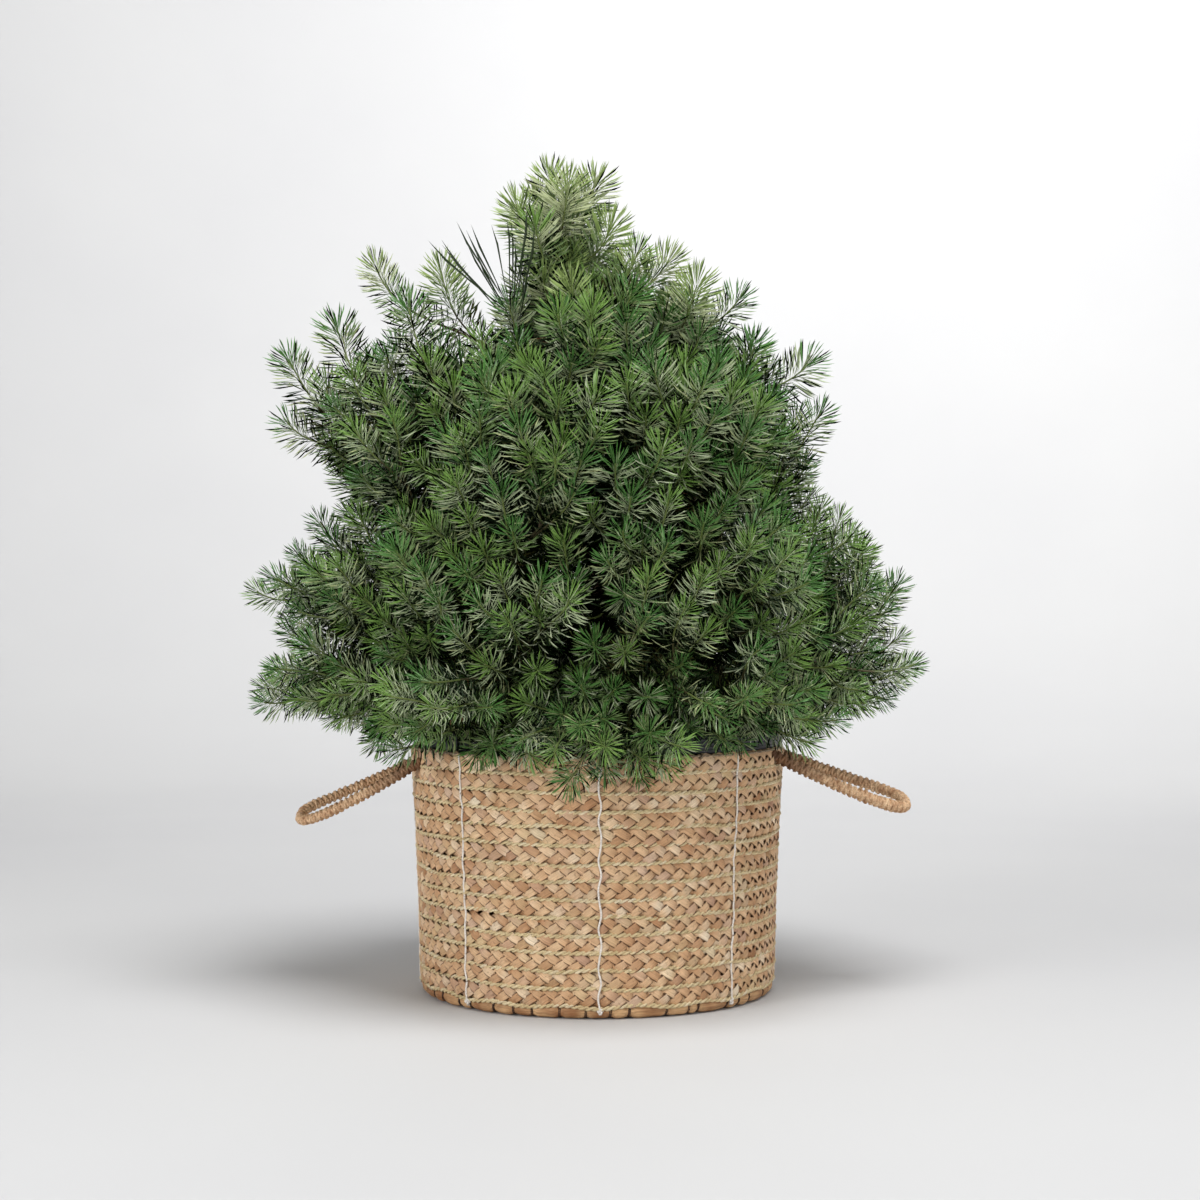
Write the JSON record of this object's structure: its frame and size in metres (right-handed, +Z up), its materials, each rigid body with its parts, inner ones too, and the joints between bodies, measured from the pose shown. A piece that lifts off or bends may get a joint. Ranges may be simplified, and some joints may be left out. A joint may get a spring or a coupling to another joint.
{
  "type": "young potted stone pine in a braided basket",
  "caption": "Young bushy stone pine in a black nursery pot, standing in a round basket of braided water hyacinth with two rope handles.",
  "frame": {"origin": "centre of the basket's flat underside, on the ground", "axes": "+Z up, +X to the right handle, -Y to the front"},
  "size_m": [0.5339, 0.4738, 0.63],
  "materials": {
    "braid": "dry braided water hyacinth stems",
    "rope": "rope wrapped with hyacinth fibre",
    "pot": "black moulded plastic",
    "compost": "moist peat compost",
    "bark": "thin grey-brown young bark",
    "needles": "blue-green needles with bright green tips"
  },
  "bodies": {
    "root": {"basket_base": "braid", "basket_wall": "braid", "bough_lower_back_left": "bark", "bough_lower_back_right": "bark", "bough_lower_front_left": "bark", "bough_lower_front_right": "bark", "bough_lower_left": "bark", "bough_lower_right": "bark", "bough_skirt_back": "bark", "bough_skirt_back_left": "bark", "bough_skirt_back_right": "bark", "bough_skirt_front": "bark", "bough_skirt_front_left": "bark", "bough_skirt_front_right": "bark", "bough_skirt_left": "bark", "bough_skirt_right": "bark", "bough_top_back_left": "bark", "bough_top_back_right": "bark", "bough_top_front": "bark", "bough_top_left": "bark", "bough_top_right": "bark", "bough_upper_back_left": "bark", "bough_upper_back_right": "bark", "bough_upper_front_left": "bark", "bough_upper_front_right": "bark", "bough_upper_left": "bark", "bough_upper_right": "bark", "foliage_leader": "needles", "foliage_lower_back_left": "needles", "foliage_lower_back_right": "needles", "foliage_lower_front_left": "needles", "foliage_lower_front_right": "needles", "foliage_lower_left": "needles", "foliage_lower_right": "needles", "foliage_skirt_back": "needles", "foliage_skirt_back_left": "needles", "foliage_skirt_back_right": "needles", "foliage_skirt_front": "needles", "foliage_skirt_front_left": "needles", "foliage_skirt_front_right": "needles", "foliage_skirt_left": "needles", "foliage_skirt_right": "needles", "foliage_top_back_left": "needles", "foliage_top_back_right": "needles", "foliage_top_front": "needles", "foliage_top_left": "needles", "foliage_top_right": "needles", "foliage_upper_back_left": "needles", "foliage_upper_back_right": "needles", "foliage_upper_front_left": "needles", "foliage_upper_front_right": "needles", "foliage_upper_left": "needles", "foliage_upper_right": "needles", "handle_left": "rope", "handle_right": "rope", "nursery_pot": "pot", "soil": "compost", "trunk": "bark"}
  },
  "joints": []
}
